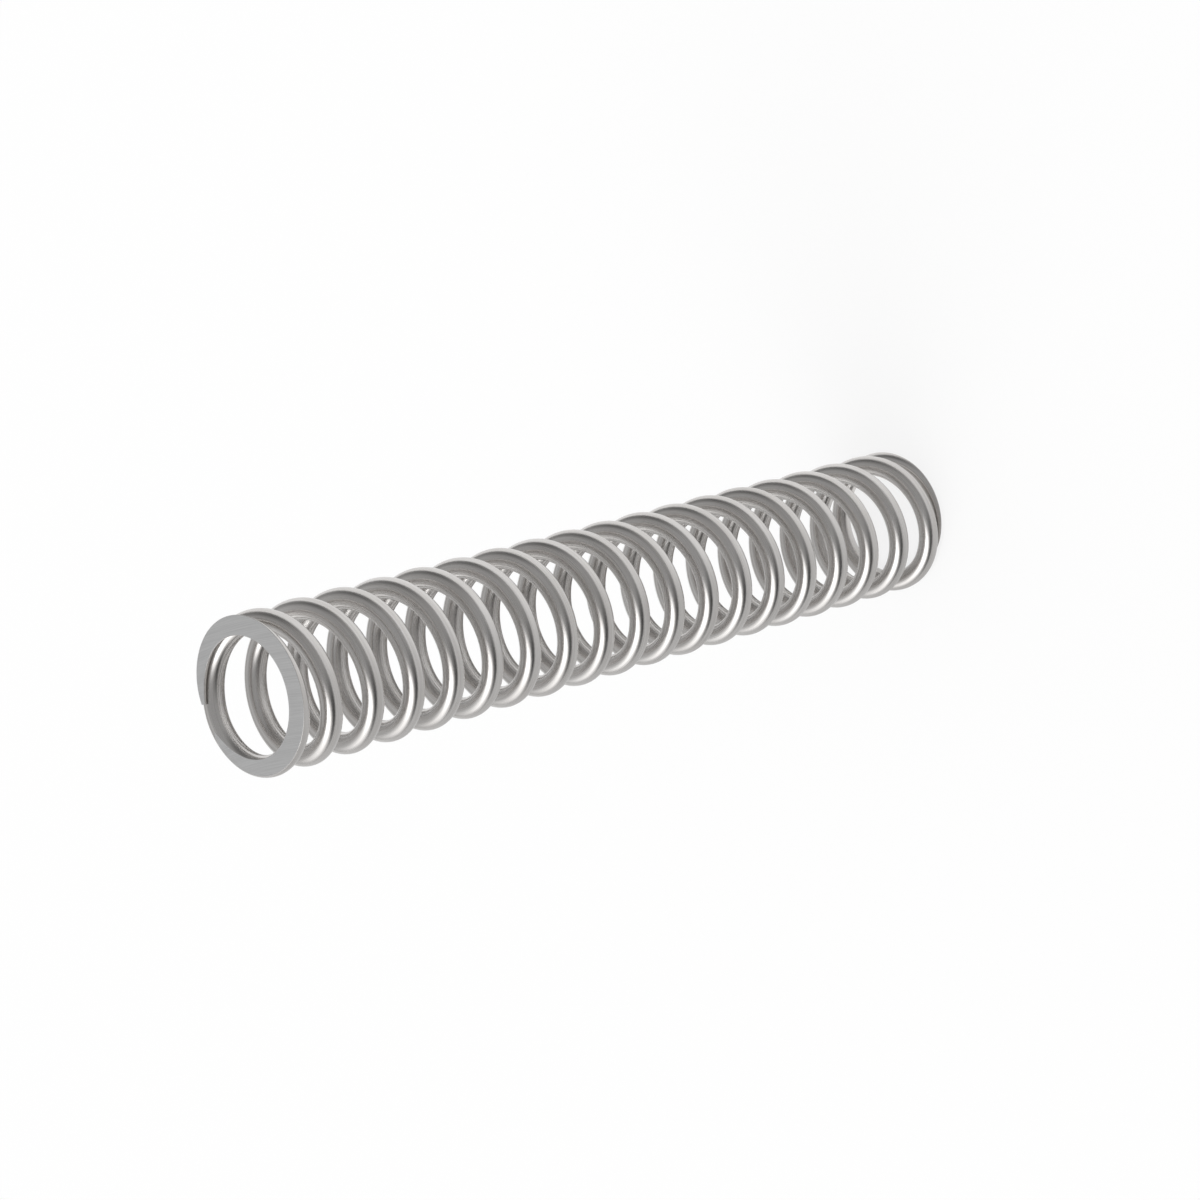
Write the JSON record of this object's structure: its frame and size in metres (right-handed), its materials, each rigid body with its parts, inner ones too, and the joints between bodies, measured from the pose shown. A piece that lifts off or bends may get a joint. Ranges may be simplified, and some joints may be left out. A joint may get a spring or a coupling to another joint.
{
  "type": "compression spring",
  "caption": "Small round-wire compression spring, wound right-handed, with both ends closed and ground flat so that it stands square.",
  "frame": {"origin": "centre of the lower ground face, on the coil's axis", "axes": "+Z along the coil's axis to the upper ground face, +X through the lower tip of the wire"},
  "size_m": [0.0118, 0.0118, 0.0715],
  "materials": {
    "spring_steel": "bright drawn wire with flat ground ends"
  },
  "bodies": {
    "root": {"coil_spring": "spring_steel"}
  },
  "joints": []
}
